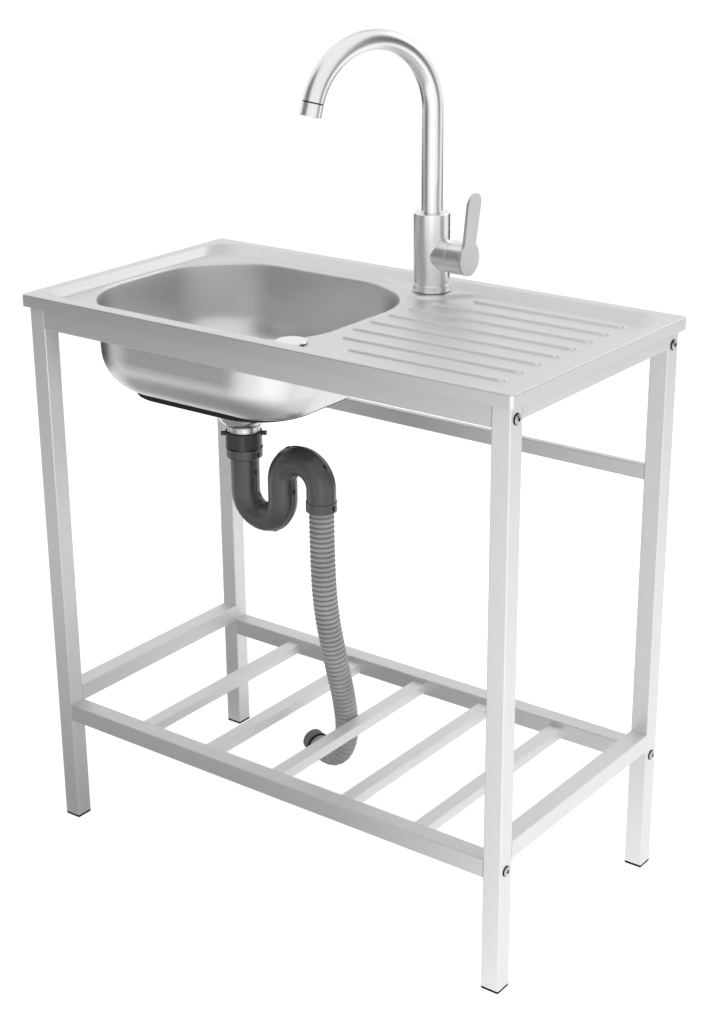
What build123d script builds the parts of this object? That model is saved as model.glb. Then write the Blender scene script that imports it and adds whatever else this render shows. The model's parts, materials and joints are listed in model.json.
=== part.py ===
from build123d import *
import math
import os

os.makedirs("parts", exist_ok=True)

# Free-standing kitchen sink unit. Millimetres, X along the long front, Y to the back, Z up.
# The origin is on the floor under the middle of the stand.

# Sink top, one pressed sheet
top_length = 760.0
top_depth = 400.0
rim_height = 775.0
sheet = 0.8
skirt_height = 16.0
top_corner_radius = 5.5
rolled_edge_radius = 2.0
rim_side = 18.0
rim_front = 18.0
rim_back = 17.0
deck_drop = 10.0
slope_side = 10.0
slope_front = 9.0
slope_back = 18.0
recess_front_radius = 22.0
recess_back_radius = 38.0

# Bowl
bowl_length = 384.0
bowl_depth = 123.0
bowl_land_left = 6.0
bowl_land_front = 7.0
bowl_land_back = 17.0
bowl_corner_radius = 120.0
bowl_front_right_radius = 90.0
bowl_draft_left = 8.0
bowl_draft_right = 23.0
bowl_draft_front = 2.0
bowl_draft_back = 5.0
bowl_floor_radius = 57.0
lip_radius = 4.5

# Drainboard ribs
rib_count = 8
rib_from_front = 70.0
rib_from_back = 59.1
rib_from_right = 53.0
rib_clear_of_bowl = 12.0
rib_end_step = 2.0
rib_width = 16.0
rib_height = 2.5
rib_round = 1.4

# Raised seat of the tap, its hole and the spare hole
tap_past_bowl = -5.0
tap_from_back = 54.8
tap_seat_radius = 38.0
tap_seat_height = 3.5
tap_seat_left = 110.0
tap_seat_right = 91.0
tap_hole_radius = 17.5
spare_from_front = 50.0

# Stand of square and rectangular tube
frame_inset = 7.5
tube = 25.0
tube_wall = 1.2
tube_round = 1.5
tube_inner_round = 0.5
apron_height = 33.0
rail_gap = 0.9
lower_rail_top = 182.5
lower_side_top = 205.0
slat_count = 5
slat_width = 20.0
slat_height = 15.0
slat_top = 175.0
brace_below_rim = 192.5
brace_height = 20.0
brace_depth = 10.0
foot_pad = 3.5
foot_plug = 15.0
plug_clearance = 0.2

# Bolts through the legs into the rails
bolt_radius = 3.0
bolt_head_radius = 7.0
bolt_head = 3.2
bolt_socket_radius = 2.3
bolt_below_rim = 33.0
bolt_hole_clearance = 0.2
thread_clearance = 0.05
rail_nut_length = 12.0

# Mixer tap
tap_gasket_height = 1.0
tap_base_radius = 25.3
tap_base_height = 9.5
tap_body_radius = 24.0
tap_body_height = 93.6
tap_groove = 1.3
tap_groove_depth = 0.8
tap_waterway_radius = 9.0
spout_socket_depth = 30.0
branch_rise = 39.0
branch_radius = 21.0
branch_length = 34.2
branch_chamfer = 1.0
chamber_radius = 17.0
chamber_start = 7.0
running_clearance = 0.05
free_clearance = 0.3

tap_shank_radius = 12.0
tap_shank_length = 40.0
inlet_radius = 4.0
inlet_spacing = 10.4
inlet_depth = 14.0
shank_waterway_radius = 3.3
tap_washer_radius = 22.0
tap_washer_height = 3.0
tap_nut_radius = 18.0
tap_nut_height = 9.0

# Handle
pivot_offset = 17.0
ball_radius = 6.6
stem_radius = 5.0
handle_tilt = 20.0
mouth_start = 2.5
hub_gap = 0.8
hub_radius = 22.0
hub_wall = 1.5
hub_length = 21.0
hub_end = 6.0
lever_thickness = 4.0
lever_height = 86.5
lever_lean = 9.0
lever_foot_width = 25.0
lever_top_width = 29.0
lever_waist_radius = 9.0
grub_radius = 2.5
grub_depth = 4.0

# Spout
spout_radius = 14.0
spout_wall = 1.6
spout_rise = 133.9
spout_bend_radius = 91.0
spout_sweep = 165.0
spout_azimuth = 250.0
spout_seal_height = 2.4
spout_seal_depth = 1.0
aerator_length = 18.0
aerator_groove = 1.6
aerator_wall = 2.0
aerator_recess = 2.5
aerator_disc = 3.0
aerator_hole_radius = 0.9

# Waste in the bowl
waste_from_bowl_middle = -14.0
waste_hole_radius = 34.5
flange_radius = 44.0
flange_thickness = 1.2
flange_gasket_height = 0.8
flange_cup_radius = 33.5
flange_cup_wall = 1.0
flange_cup_depth = 31.0
drain_hole_radius = 4.0
drain_hole_circle = 20.0
drain_hole_count = 8
cup_radius = 36.5
cup_wall = 1.5
cup_straight = 38.0
cup_taper = 15.0
cup_gasket_height = 2.0
neck_radius = 22.4
neck_bore_radius = 20.0
thread_depth = 1.0
thread_pitch = 3.5
neck_length = 30.0
boss_radius = 6.0
boss_height = 9.0
arm_width = 3.0
waste_screw_radius = 3.0
waste_screw_head = 3.0
basket_radius = 31.0
basket_wall = 0.9
basket_height = 22.0
basket_hole_radius = 2.0
basket_seal_height = 5.0
knob_radius = 5.5
knob_stem_radius = 2.2
pad_thickness = 5.5
pad_past_flat = 16.0
pad_hole_clearance = 2.5

# S-trap, its nut and the drain hose
nut_gap = 10.0
trap_nut_height = 22.0
trap_nut_radius = 25.5
trap_nut_flats = 47.4
lug_radius = 3.2
lug_reach = 31.0
lug_drop = 3.5
lug_turn = 37.0
seal_height = 1.0
collar_radius = 25.0
collar_height = 14.0
trap_radius = 20.0
trap_wall = 2.0
trap_bend_radius = 33.0
trap_drop = 47.0
trap_rise = 27.0
trap_outlet_drop = 16.0
outlet_collar_radius = 21.0
outlet_collar_height = 13.0
seam_height = 0.9
seam_width = 1.4
tab_height = 1.5
tab_length = 6.0
tab_width = 2.4

hose_bore_radius = 13.0
hose_rib_radius = 17.2
hose_valley_radius = 15.6
hose_rib_pitch = 7.0
hose_ring_radius = 17.4
hose_ring_length = 3.0
connector_radius = 16.2
connector_length = 17.0
connector_round = 6.0
connector_bore_radius = 11.0

# Cover of the spare hole
cover_radius = 19.75
cover_thickness = 2.0
cover_washer_radius = 18.5
cover_washer_height = 1.5
cover_stud_radius = 4.0
cover_stud_length = 26.0
cover_bar_length = 42.0
cover_bar_width = 14.0
cover_bar_turn = 20.0
cover_nut_height = 4.0
wing_span = 28.0
wing_height = 9.0
wing_thickness = 3.0

# Places that follow from the sizes
x_right = top_length / 2
x_left = -x_right
y_back = top_depth / 2
y_front = -y_back
deck_z = rim_height - deck_drop
skirt_z = rim_height - skirt_height
bowl_x0 = x_left + rim_side + slope_side + bowl_land_left
bowl_x1 = bowl_x0 + bowl_length
bowl_y0 = y_front + rim_front + slope_front + bowl_land_front
bowl_y1 = y_back - rim_back - slope_back - bowl_land_back
bowl_width = bowl_y1 - bowl_y0
rib_pitch = (top_depth - rib_from_front - rib_from_back) / (rib_count - 1)
bowl_floor_z = deck_z - bowl_depth
tap_x = bowl_x1 + tap_past_bowl
tap_y = y_back - tap_from_back
tap_z = deck_z + tap_seat_height
base_z = tap_z + tap_gasket_height
body_z = base_z + tap_base_height
tap_body_top = body_z + tap_body_height
branch_height = body_z + branch_rise
spout_spring_height = tap_body_top + spout_rise
spare_y = y_front + spare_from_front
frame_x = x_right - frame_inset
frame_y = y_back - frame_inset
frame_top = deck_z - sheet
rail_top = frame_top - rail_gap
inner_x = frame_x - tube
inner_y = frame_y - tube
waste_x = (bowl_x0 + bowl_x1) / 2 + waste_from_bowl_middle
waste_y = (bowl_y0 + bowl_y1) / 2
half_slope = math.tan(math.radians(22.5))


def export(piece, name):
    piece.part.label = name
    export_step(piece.part, f"parts/{name}.step")


# Sink top: the solid under the pressed surface, less the same solid moved in by the sheet


def bowl_outline(level, grow, draft):
    with BuildSketch(Plane.XY.offset(level)) as outline:
        x0 = bowl_x0 - grow + draft * bowl_draft_left
        x1 = bowl_x1 + grow - draft * bowl_draft_right
        y0 = bowl_y0 - grow + draft * bowl_draft_front
        y1 = bowl_y1 + grow - draft * bowl_draft_back
        big = bowl_corner_radius + grow - draft * bowl_draft_back
        small = bowl_front_right_radius + grow + draft * bowl_draft_back
        with BuildLine():
            FilletPolyline(
                (x0, y0),
                (x1, y0),
                (x1, y1),
                (x0, y1),
                radius=[big, small, big, big],
                close=True,
            )
        make_face()
    return outline.sketch


def bowl_plug(inset):
    with BuildPart() as plug:
        add(bowl_outline(deck_z - inset, inset, 0))
        add(bowl_outline(bowl_floor_z - inset, inset, 1))
        loft(ruled=True)
        floor_edges = plug.edges().group_by(Axis.Z)[0]
        fillet(floor_edges, bowl_floor_radius - sheet + inset)
    return plug.part


def recess_outline(level, grow, slope):
    with BuildSketch(Plane.XY.offset(level)) as outline:
        x0 = x_left + rim_side + slope * slope_side - grow
        x1 = x_right - rim_side - slope * slope_side + grow
        y0 = y_front + rim_front + slope * slope_front - grow
        y1 = y_back - rim_back - slope * slope_back + grow
        near = recess_front_radius + grow
        far = recess_back_radius + grow
        with BuildLine():
            FilletPolyline(
                (x0, y0),
                (x1, y0),
                (x1, y1),
                (x0, y1),
                radius=[near, near, far, far],
                close=True,
            )
        make_face()
    return outline.sketch


def tap_seat_outline(level, seat_radius, wall_y):
    rise = wall_y - tap_y
    left = tap_x - tap_seat_left
    right = tap_x + tap_seat_right
    turn = 2 * (seat_radius + rise)
    left_flare = (tap_seat_left**2 + rise**2 - seat_radius**2) / turn
    right_flare = (tap_seat_right**2 + rise**2 - seat_radius**2) / turn

    def flare(end_x, flare_radius):
        center = Vector(end_x, wall_y - flare_radius)
        start = Vector(end_x, wall_y)
        touch = center + (Vector(tap_x, tap_y) - center).normalized() * flare_radius
        middle = center + ((start - center) + (touch - center)).normalized() * flare_radius
        return start, middle, touch

    left_start, left_middle, left_touch = flare(left, left_flare)
    right_start, right_middle, right_touch = flare(right, right_flare)
    behind = y_back - rim_back
    with BuildSketch(Plane.XY.offset(level)) as outline:
        with BuildLine():
            Line((left, behind), left_start)
            ThreePointArc(left_start, left_middle, left_touch)
            ThreePointArc(left_touch, (tap_x, tap_y - seat_radius), right_touch)
            ThreePointArc(right_touch, right_middle, right_start)
            Line(right_start, (right, behind))
            Line((right, behind), (left, behind))
        make_face()
    return outline.sketch


def pressed_form(inset):
    side = half_slope * inset
    with BuildPart() as form:
        with BuildSketch(Plane.XY.offset(skirt_z - inset)):
            RectangleRounded(
                top_length - 2 * inset,
                top_depth - 2 * inset,
                top_corner_radius - inset,
            )
        extrude(amount=skirt_height)
        rim_face = form.faces().sort_by(Axis.Z)[-1]
        fillet(rim_face.edges(), rolled_edge_radius - inset)
        # A block of material for the bowl to be pressed into, the same in both solids
        with BuildSketch(Plane.XY.offset(skirt_z + 1)):
            with Locations(((bowl_x0 + bowl_x1) / 2, (bowl_y0 + bowl_y1) / 2)):
                Rectangle(bowl_length + 8 + inset, bowl_width + 8 + inset)
        extrude(amount=-(skirt_z + 1 - bowl_floor_z + 10 + inset))
        with BuildPart(mode=Mode.PRIVATE) as recess:
            add(recess_outline(rim_height - inset, side, 0))
            add(recess_outline(deck_z - inset, side, 1))
            loft(ruled=True)
        add(recess.part, mode=Mode.SUBTRACT)
        add(bowl_plug(inset), mode=Mode.SUBTRACT)
        level = deck_z - inset
        flats = form.faces().filter_by(GeomType.PLANE)
        deck = flats.filter_by_position(Axis.Z, level - 0.01, level + 0.01).sort_by(SortBy.AREA)[-1]
        fillet(deck.inner_wires()[0].edges(), lip_radius - inset)
    with BuildPart() as seat:
        wall_y = y_back - rim_back - slope_back + side + 0.3
        wall_rise = tap_seat_height * slope_back / deck_drop
        add(tap_seat_outline(deck_z - inset, tap_seat_radius - side, wall_y))
        add(tap_seat_outline(tap_z - inset, tap_seat_radius - tap_seat_height - side, wall_y + wall_rise))
        loft(ruled=True)
    with BuildPart() as ribs:
        for index in range(rib_count):
            outward = max(abs(index - (rib_count - 1) / 2) - 0.5, 0)
            start = bowl_x1 + rib_clear_of_bowl + rib_end_step * outward**3
            end = x_right - rib_from_right
            y = y_front + rib_from_front + index * rib_pitch
            with BuildSketch(Plane.XY.offset(deck_z - inset)):
                with Locations(((start + end) / 2, y)):
                    SlotOverall(end - start - 2 * side, rib_width - 2 * side)
            extrude(amount=rib_height, taper=40)
        tops = ribs.faces().filter_by(Axis.Z).group_by(Axis.Z)[-1]
        fillet(tops.edges(), rib_round - inset)
    return form.part + seat.part + ribs.part


pressed_outside = pressed_form(0)
pressed_inside = pressed_form(sheet)

with BuildPart() as sink_top:
    add(pressed_outside)
    add(pressed_inside, mode=Mode.SUBTRACT)
    with BuildSketch(Plane.XY.offset(skirt_z - 1)):
        with Locations((tap_x, tap_y), (tap_x, spare_y)):
            Circle(tap_hole_radius)
    extrude(amount=skirt_height + 5, mode=Mode.SUBTRACT)
    with BuildSketch(Plane.XY.offset(bowl_floor_z - 5)):
        with Locations((waste_x, waste_y)):
            Circle(waste_hole_radius)
    extrude(amount=10, mode=Mode.SUBTRACT)
export(sink_top, "sink_top")


# Stand


def tube_piece(start, across, along, width, height, length):
    with BuildPart() as piece:
        with BuildSketch(Plane(start, x_dir=across, z_dir=along)):
            RectangleRounded(width, height, tube_round)
            RectangleRounded(
                width - 2 * tube_wall,
                height - 2 * tube_wall,
                tube_inner_round,
                mode=Mode.SUBTRACT,
            )
        extrude(amount=length)
    return piece


bolt_lower_height = lower_rail_top - tube / 2
bolt_upper_height = rim_height - bolt_below_rim
brace_top = rim_height - brace_below_rim
corners = {
    "front_left": (-1, -1),
    "front_right": (1, -1),
    "rear_left": (-1, 1),
    "rear_right": (1, 1),
}
leg_x = frame_x - tube / 2
leg_y = frame_y - tube / 2

for name, (sx, sy) in corners.items():
    with BuildPart() as leg:
        start = (sx * leg_x, sy * leg_y, foot_pad)
        add(tube_piece(start, (1, 0, 0), (0, 0, 1), tube, tube, frame_top - foot_pad).part)
        for height in (bolt_lower_height, bolt_upper_height):
            with BuildSketch(Plane((sx * inner_x, sy * leg_y, height), z_dir=(sx, 0, 0))):
                Circle(bolt_radius + bolt_hole_clearance)
            extrude(amount=tube, mode=Mode.SUBTRACT)
    export(leg, f"leg_{name}")
    with BuildPart() as foot:
        with BuildSketch(Plane((sx * leg_x, sy * leg_y, 0))):
            RectangleRounded(tube, tube, tube_round)
        extrude(amount=foot_pad)
        with BuildSketch(Plane((sx * leg_x, sy * leg_y, foot_pad))):
            RectangleRounded(
                tube - 2 * tube_wall - 2 * plug_clearance,
                tube - 2 * tube_wall - 2 * plug_clearance,
                tube_inner_round,
            )
        extrude(amount=foot_plug)
        fillet(foot.faces().sort_by(Axis.Z)[0].edges(), 0.8)
    export(foot, f"foot_{name}")

for name, sy in (("front", -1), ("rear", 1)):
    start = (-inner_x, sy * leg_y, rail_top - apron_height / 2)
    apron = tube_piece(start, (0, 1, 0), (1, 0, 0), tube, apron_height, 2 * inner_x)
    export(apron, f"{name}_apron")
    start = (-inner_x, sy * leg_y, lower_rail_top - tube / 2)
    lower_rail = tube_piece(start, (0, 1, 0), (1, 0, 0), tube, tube, 2 * inner_x)
    export(lower_rail, f"lower_{name}_rail")

for name, sx in (("left", -1), ("right", 1)):
    start = (sx * leg_x, -inner_y, rail_top - tube / 2)
    upper_side = tube_piece(start, (1, 0, 0), (0, 1, 0), tube, tube, 2 * inner_y)
    export(upper_side, f"upper_side_rail_{name}")
    start = (sx * leg_x, -inner_y, lower_side_top - tube / 2)
    lower_side = tube_piece(start, (1, 0, 0), (0, 1, 0), tube, tube, 2 * inner_y)
    export(lower_side, f"lower_side_rail_{name}")

brace_start = (-inner_x, inner_y + brace_depth / 2, brace_top - brace_height / 2)
rear_brace = tube_piece(brace_start, (0, 1, 0), (1, 0, 0), brace_depth, brace_height, 2 * inner_x)
export(rear_brace, "rear_brace")

slat_pitch = 2 * inner_x / (slat_count + 1)
for index in range(slat_count):
    start = (-inner_x + (index + 1) * slat_pitch, -inner_y, slat_top - slat_height / 2)
    slat = tube_piece(start, (1, 0, 0), (0, 1, 0), slat_width, slat_height, 2 * inner_y)
    export(slat, f"slat_{index + 1}")

with BuildPart() as frame_bolts:
    for sx, sy in corners.values():
        for height in (bolt_lower_height, bolt_upper_height):
            face = (sx * frame_x, sy * leg_y, height)
            with BuildSketch(Plane(face, x_dir=(0, 0, 1), z_dir=(0, sx, 0))) as profile:
                with BuildLine():
                    shank = -(tube + rail_nut_length)
                    Polyline(
                        (0, bolt_head - 1.8),
                        (0, shank),
                        (bolt_radius, shank),
                        (bolt_radius, 0),
                        (bolt_head_radius, 0),
                        (bolt_head_radius, 0.8),
                    )
                    RadiusArc((bolt_head_radius, 0.8), (bolt_socket_radius, bolt_head), -8)
                    Polyline(
                        (bolt_socket_radius, bolt_head),
                        (bolt_socket_radius, bolt_head - 1.8),
                        (0, bolt_head - 1.8),
                    )
                make_face()
            revolve(axis=Axis(face, (sx, 0, 0)))
export(frame_bolts, "frame_bolts")

with BuildPart() as rail_nuts:
    for sx, sy in corners.values():
        inside = tube - 2 * tube_wall - 2 * plug_clearance
        for middle, tall, height in (
            (lower_rail_top - tube / 2, tube, bolt_lower_height),
            (rail_top - apron_height / 2, apron_height, bolt_upper_height),
        ):
            end = Plane((sx * inner_x, sy * leg_y, middle), x_dir=(0, 1, 0), z_dir=(-sx, 0, 0))
            with BuildSketch(end):
                Rectangle(inside, tall - 2 * tube_wall - 2 * plug_clearance)
                with Locations((0, (height - middle) * end.y_dir.Z)):
                    Circle(bolt_radius + thread_clearance, mode=Mode.SUBTRACT)
            extrude(amount=rail_nut_length)
export(rail_nuts, "rail_nuts")


# Bowl pad, under the bowl's floor and a little way up its rounded edge

pad_top = bowl_floor_z - sheet
pad_lip = bowl_floor_radius - math.sqrt(bowl_floor_radius**2 - pad_past_flat**2)
with BuildPart() as bowl_pad:
    with BuildSketch(Plane.XY.offset(pad_top - pad_thickness)):
        flat = bowl_floor_radius - pad_past_flat
        x0 = bowl_x0 + bowl_draft_left + flat
        x1 = bowl_x1 - bowl_draft_right - flat
        y0 = bowl_y0 + bowl_draft_front + flat
        y1 = bowl_y1 - bowl_draft_back - flat
        with Locations(((x0 + x1) / 2, (y0 + y1) / 2)):
            RectangleRounded(x1 - x0, y1 - y0, bowl_corner_radius - bowl_draft_back - flat)
        with Locations((waste_x, waste_y)):
            Circle(cup_radius + pad_hole_clearance, mode=Mode.SUBTRACT)
    extrude(amount=pad_thickness + pad_lip)
    add(bowl_plug(sheet), mode=Mode.SUBTRACT)
export(bowl_pad, "bowl_pad")


# Mixer tap


def ring(center_x, center_y, bottom, height, outer, inner):
    with BuildPart() as piece:
        with BuildSketch(Plane((center_x, center_y, bottom))):
            Circle(outer)
            if inner > 0:
                Circle(inner, mode=Mode.SUBTRACT)
        extrude(amount=height)
    return piece


tap_gasket = ring(tap_x, tap_y, tap_z, tap_gasket_height, tap_base_radius - 0.8, tap_hole_radius)
export(tap_gasket, "tap_gasket")

with BuildPart() as tap_base:
    with BuildSketch(Plane((tap_x, tap_y, base_z))):
        Circle(tap_base_radius)
        Circle(tap_shank_radius + thread_clearance, mode=Mode.SUBTRACT)
    extrude(amount=tap_base_height)
    fillet(tap_base.faces().sort_by(Axis.Z)[-1].edges().sort_by(SortBy.LENGTH)[-1], 0.6)
export(tap_base, "tap_base")

socket_z = tap_body_top - spout_socket_depth
with BuildPart() as tap_body:
    with BuildSketch(Plane((tap_x, tap_y, body_z))):
        Circle(tap_body_radius)
    extrude(amount=tap_body_top - body_z)
    chamfer(tap_body.edges().group_by(Axis.Z)[-1], 0.6)
    with BuildSketch(Plane((tap_x, tap_y, body_z))):
        Circle(tap_body_radius + 1)
        Circle(tap_body_radius - tap_groove_depth, mode=Mode.SUBTRACT)
    extrude(amount=tap_groove, mode=Mode.SUBTRACT)
    with BuildSketch(Plane((tap_x, tap_y, branch_height), z_dir=(1, 0, 0))):
        Circle(branch_radius)
    extrude(amount=branch_length)
    chamfer(tap_body.edges().group_by(Axis.X)[-1], branch_chamfer)
    with BuildSketch(Plane((tap_x + chamber_start, tap_y, branch_height), z_dir=(1, 0, 0))):
        Circle(chamber_radius + running_clearance)
    extrude(amount=branch_length, mode=Mode.SUBTRACT)
    with BuildSketch(Plane((tap_x, tap_y, body_z - 1))):
        Circle(tap_waterway_radius)
    extrude(amount=socket_z - body_z + 2, mode=Mode.SUBTRACT)
    with BuildSketch(Plane((tap_x, tap_y, socket_z))):
        Circle(spout_radius + running_clearance)
    extrude(amount=spout_socket_depth + 1, mode=Mode.SUBTRACT)
export(tap_body, "tap_body")

shank_top = body_z
shank_bottom = tap_z - sheet - tap_shank_length
with BuildPart() as tap_shank:
    with BuildSketch(Plane((tap_x, tap_y, shank_bottom))):
        Circle(tap_shank_radius)
    extrude(amount=shank_top - shank_bottom)
    with BuildSketch(Plane((tap_x, tap_y, shank_bottom))):
        with Locations((-inlet_spacing / 2, 0), (inlet_spacing / 2, 0)):
            Circle(inlet_radius)
    extrude(amount=inlet_depth, mode=Mode.SUBTRACT)
    with BuildSketch(Plane((tap_x, tap_y, shank_bottom))):
        with Locations((-inlet_spacing / 2, 0), (inlet_spacing / 2, 0)):
            Circle(shank_waterway_radius)
    extrude(amount=shank_top - shank_bottom, mode=Mode.SUBTRACT)
    chamfer(tap_shank.edges().filter_by(GeomType.CIRCLE).group_by(Axis.Z)[0].sort_by(SortBy.LENGTH)[-1], 0.8)
export(tap_shank, "tap_shank")

washer_z = tap_z - sheet - tap_washer_height
washer_hole = tap_shank_radius + free_clearance
tap_washer = ring(tap_x, tap_y, washer_z, tap_washer_height, tap_washer_radius, washer_hole)
export(tap_washer, "tap_washer")

with BuildPart() as tap_nut:
    with BuildSketch(Plane((tap_x, tap_y, washer_z))):
        RegularPolygon(tap_nut_radius, 6)
        Circle(tap_shank_radius + thread_clearance, mode=Mode.SUBTRACT)
    extrude(amount=-tap_nut_height)
export(tap_nut, "tap_nut")

# The cartridge holds the ball of the handle's stem, and its mouth clears the stem at full tilt
pivot_x = tap_x + pivot_offset
spread = math.radians(handle_tilt)
cartridge_start = chamber_start + free_clearance
cartridge_end = branch_length - 0.4


def mouth_radius(reach):
    return reach * math.tan(spread) + stem_radius / math.cos(spread) + 2 * free_clearance


with BuildPart() as tap_cartridge:
    with BuildSketch(Plane((pivot_x, tap_y, branch_height), x_dir=(1, 0, 0), z_dir=(0, -1, 0))):
        with BuildLine():
            socket = ball_radius + free_clearance
            outer_end = cartridge_end - pivot_offset
            inner_end = cartridge_start - pivot_offset
            slant = socket * math.sqrt(0.5)
            ThreePointArc((-socket, 0), (-slant, slant), (0, socket))
            Polyline(
                (0, socket),
                (mouth_start, mouth_radius(mouth_start)),
                (outer_end, mouth_radius(outer_end)),
                (outer_end, chamber_radius),
                (inner_end, chamber_radius),
                (inner_end, 0),
                (-socket, 0),
            )
        make_face()
    revolve(axis=Axis((pivot_x, tap_y, branch_height), (1, 0, 0)))
export(tap_cartridge, "tap_cartridge")

hub_start = branch_length + hub_gap
hub_face = hub_start + hub_length
hub_reach = hub_face - pivot_offset
skirt_reach = hub_start - pivot_offset
ball_cut = math.sqrt(ball_radius**2 - stem_radius**2)
with BuildPart() as handle_hub:
    with BuildSketch(Plane((pivot_x, tap_y, branch_height), x_dir=(1, 0, 0), z_dir=(0, -1, 0))):
        with BuildLine():
            ThreePointArc((-ball_radius, 0), (0, ball_radius), (ball_cut, stem_radius))
            Polyline(
                (ball_cut, stem_radius),
                (hub_reach - hub_end, stem_radius),
                (hub_reach - hub_end, hub_radius - hub_wall),
                (skirt_reach, hub_radius - hub_wall),
                (skirt_reach, hub_radius),
                (hub_reach, hub_radius),
                (hub_reach, 0),
                (-ball_radius, 0),
            )
        make_face()
    revolve(axis=Axis((pivot_x, tap_y, branch_height), (1, 0, 0)))
    grub_x = tap_x + hub_face - hub_end / 2
    with BuildSketch(Plane((grub_x, tap_y, branch_height + hub_radius - grub_depth))):
        Circle(grub_radius + thread_clearance)
    extrude(amount=grub_depth + 1, mode=Mode.SUBTRACT)
export(handle_hub, "handle_hub")

with BuildPart() as handle_screw:
    with BuildSketch(Plane((grub_x, tap_y, branch_height + hub_radius - grub_depth))):
        Circle(grub_radius)
    extrude(amount=grub_depth + 0.2)
    with BuildSketch(Plane((grub_x, tap_y, branch_height + hub_radius + 0.2))):
        RegularPolygon(1.3, 6)
    extrude(amount=-2, mode=Mode.SUBTRACT)
export(handle_screw, "handle_screw")

# The lever: a plate as round as the hub, with a paddle that leans outwards as it rises
with BuildPart() as handle_lever:
    face_x = tap_x + hub_face
    face_plane = Plane((face_x, tap_y, branch_height), x_dir=(0, 1, 0), z_dir=(1, 0, 0))
    with BuildSketch(face_plane) as lever_outline:
        Circle(hub_radius)
        with BuildLine():
            top_center = lever_height - lever_top_width / 2
            Line((-lever_foot_width / 2, 0), (-lever_top_width / 2, top_center))
            half_top = lever_top_width / 2
            ThreePointArc((-half_top, top_center), (0, lever_height), (half_top, top_center))
            Line((lever_top_width / 2, top_center), (lever_foot_width / 2, 0))
            Line((lever_foot_width / 2, 0), (-lever_foot_width / 2, 0))
        make_face()
        waist = lever_outline.vertices().filter_by_position(Axis.Y, 1, hub_radius)
        fillet(waist, lever_waist_radius)
    extrude(amount=lever_lean + lever_thickness + 2)
    side_plane = Plane((face_x, tap_y + hub_radius + 1, branch_height), x_dir=(1, 0, 0), z_dir=(0, -1, 0))
    with BuildSketch(side_plane) as lever_side:
        with BuildLine():
            FilletPolyline(
                (0, -hub_radius - 1),
                (0, hub_radius - 6),
                (lever_lean, lever_height + 1),
                (lever_lean + lever_thickness - 0.5, lever_height + 1),
                (lever_thickness, hub_radius - 6),
                (lever_thickness, -hub_radius - 1),
                radius=[40, 0, 0, 40],
            )
            Line((lever_thickness, -hub_radius - 1), (0, -hub_radius - 1))
        make_face()
    extrude(amount=2 * hub_radius + 2, mode=Mode.INTERSECT)
export(handle_lever, "handle_lever")

# Spout: a stem that turns in the body, a straight rise and a goose-neck
reach = (math.cos(math.radians(spout_azimuth)), math.sin(math.radians(spout_azimuth)))
spout_plane = Plane((tap_x, tap_y, 0), x_dir=(reach[0], reach[1], 0), z_dir=(reach[1], -reach[0], 0))
stem_z = socket_z + free_clearance
sweep_angle = math.radians(spout_sweep)
tip = (
    spout_bend_radius * (1 - math.cos(sweep_angle)),
    spout_spring_height + spout_bend_radius * math.sin(sweep_angle),
)
tip_point = spout_plane.from_local_coords((tip[0], tip[1], 0))
tip_heading = spout_plane.from_local_coords(
    (tip[0] + math.sin(sweep_angle), tip[1] + math.cos(sweep_angle), 0)
) - tip_point

with BuildPart() as spout:
    with BuildLine(spout_plane) as spout_path:
        rise = Line((0, stem_z), (0, spout_spring_height))
        ThreePointArc(
            (0, spout_spring_height),
            (
                spout_bend_radius * (1 - math.cos(sweep_angle / 2)),
                spout_spring_height + spout_bend_radius * math.sin(sweep_angle / 2),
            ),
            tip,
        )
    with BuildSketch(Plane((tap_x, tap_y, stem_z))):
        Circle(spout_radius)
        Circle(spout_radius - spout_wall, mode=Mode.SUBTRACT)
    sweep()
    seal_z = stem_z + 6
    with BuildSketch(Plane((tap_x, tap_y, seal_z))):
        Circle(spout_radius + 1)
        Circle(spout_radius - spout_seal_depth, mode=Mode.SUBTRACT)
    extrude(amount=spout_seal_height, mode=Mode.SUBTRACT)
export(spout, "spout")

spout_seal = ring(tap_x, tap_y, seal_z, spout_seal_height, spout_radius, spout_radius - spout_seal_depth)
export(spout_seal, "spout_seal")

with BuildPart() as aerator_housing:
    with BuildSketch(Plane(tip_point, z_dir=tip_heading)):
        Circle(spout_radius)
    extrude(amount=aerator_length)
    fillet(aerator_housing.edges().sort_by(Axis(tip_point, tip_heading))[-1], 0.8)
    with BuildSketch(Plane(tip_point, z_dir=tip_heading)):
        Circle(spout_radius + 1)
        Circle(spout_radius - spout_wall / 2, mode=Mode.SUBTRACT)
    extrude(amount=aerator_groove, mode=Mode.SUBTRACT)
    with BuildSketch(Plane(tip_point, z_dir=tip_heading)):
        Circle(spout_radius - aerator_wall)
    extrude(amount=aerator_length + 1, mode=Mode.SUBTRACT)
export(aerator_housing, "aerator_housing")

with BuildPart() as aerator_insert:
    mouth = tip_point + tip_heading * (aerator_length - aerator_recess)
    with BuildSketch(Plane(mouth, z_dir=tip_heading)):
        Circle(spout_radius - aerator_wall - running_clearance)
        for circle in (3.2, 6.4, 9.4):
            with PolarLocations(circle, round(circle * 1.9)):
                Circle(aerator_hole_radius, mode=Mode.SUBTRACT)
        Circle(aerator_hole_radius, mode=Mode.SUBTRACT)
    extrude(amount=-aerator_disc)
export(aerator_insert, "aerator_insert")


# Waste


def turned(points, center_x=waste_x, center_y=waste_y):
    with BuildPart() as piece:
        with BuildSketch(Plane((center_x, center_y, 0), x_dir=(1, 0, 0), z_dir=(0, -1, 0))):
            with BuildLine():
                Polyline(*points, close=True)
            make_face()
        revolve(axis=Axis((center_x, center_y, 0), (0, 0, 1)))
    return piece


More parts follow.
